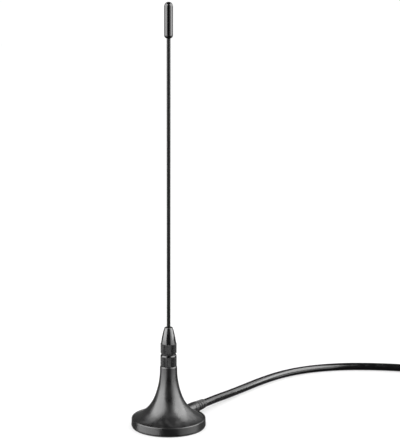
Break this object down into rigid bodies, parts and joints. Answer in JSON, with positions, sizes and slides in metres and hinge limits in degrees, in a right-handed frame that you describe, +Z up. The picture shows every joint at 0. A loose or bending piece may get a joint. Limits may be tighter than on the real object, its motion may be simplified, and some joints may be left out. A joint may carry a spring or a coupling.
{
  "type": "magnetic-base whip antenna",
  "caption": "Short whip antenna screwed into a trumpet-shaped magnetic foot, with a thin coaxial lead coiled and tied and a small screw-on coaxial plug.",
  "frame": {"origin": "on the resting plane, under the mast's axis and the centre of the round foot", "axes": "+Z up along the mast; the lead leaves the foot at 55 degrees from +X towards +Y, and lies towards +X and +Y"},
  "size_m": [0.1581, 0.0821, 0.1402],
  "materials": {
    "black_plastic": "satin moulded black",
    "black_metal": "satin black plating on brass",
    "black_steel": "semi-gloss black coating on spring steel",
    "cap_plastic": "semi-gloss moulded black",
    "pad_rubber": "matte black",
    "tinned_steel": "tinned",
    "magnet_nickel": "nickel plated",
    "resin": "poured black resin",
    "insulator": "milky white",
    "copper": "bare copper",
    "tinned_copper": "tinned braid",
    "solder": "bright solder",
    "soft_pvc": "satin black",
    "nitrile": "matte black",
    "cable_jacket": "satin black",
    "tie_plastic": "satin black",
    "gold_plate": "thin gold plate",
    "silicone": "red-brown silicone",
    "spring_bronze": "bare spring bronze",
    "heat_shrink": "semi-matte black"
  },
  "bodies": {
    "foot": {"base_shell": "black_plastic", "base_insert": "black_metal", "bottom_pad": "pad_rubber", "ground_plate": "tinned_steel", "magnet_disc": "magnet_nickel", "potting_resin": "resin", "coax_dielectric": "insulator", "coax_core_wire": "copper", "braid_pigtail": "tinned_copper", "solder_joints": "solder", "cable_grommet": "soft_pvc", "cable_run": "cable_jacket", "cable_coil": "cable_jacket", "cable_tail": "cable_jacket", "coil_ties": "tie_plastic", "plug_body": "gold_plate", "plug_gasket": "silicone", "plug_snap_ring": "spring_bronze", "plug_dielectric": "insulator", "plug_pin": "gold_plate", "cable_end_core": "insulator", "crimp_ferrule": "gold_plate", "heat_shrink_sleeve": "heat_shrink"},
    "stud_washer": {"seal_washer": "nitrile"},
    "whip": {"whip_ferrule": "black_metal", "whip_rod": "black_steel", "tip_cap": "cap_plastic"},
    "coupling_nut": {"plug_nut": "gold_plate"}
  },
  "joints": [
    {"name": "whip_lift", "type": "slide", "parent": "foot", "child": "stud_washer", "axis": [0, 0, 1], "range_m": [0, 0.0035]},
    {"name": "whip_turn", "type": "hinge", "parent": "stud_washer", "child": "whip", "pos_m": [0, 0, 0.0251], "axis": [0, 0, 1], "range_deg": [0, 2521]},
    {"name": "coupling_nut_spin", "type": "hinge", "parent": "foot", "child": "coupling_nut", "pos_m": [0.141, 0, 0.004], "axis": [0, 1, 0], "continuous": true}
  ],
  "couplings": [
    {"joint": "whip_turn", "follows": "whip_lift", "rad_per_m": 12566}
  ]
}
